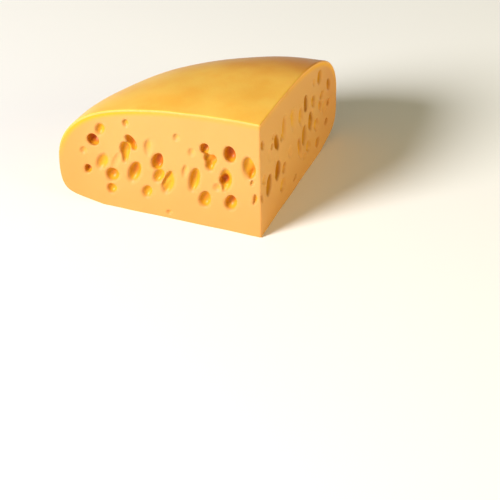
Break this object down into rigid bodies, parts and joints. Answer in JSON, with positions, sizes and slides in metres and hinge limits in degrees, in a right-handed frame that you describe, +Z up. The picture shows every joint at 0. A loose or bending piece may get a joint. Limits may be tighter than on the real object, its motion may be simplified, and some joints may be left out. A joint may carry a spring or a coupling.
{
  "type": "cheese wedge",
  "caption": "Wedge cut from a round, large-holed cheese: flat cut faces with open eyes, a domed rind over the top and back, and a flat underside to rest on.",
  "frame": {"origin": "middle of the footprint's box, on the flat underside", "axes": "+Z up; +Y from the tip, the upright edge where the cuts meet, to the middle of the rind; +X to the right, seen from the tip"},
  "size_m": [0.2664, 0.183, 0.1128],
  "materials": {
    "cheese": "satin, waxy semi-hard cheese: pale cream-yellow cut paste, deeper orange-yellow rind"
  },
  "bodies": {
    "root": {"cheese_wedge": "cheese"}
  },
  "joints": []
}
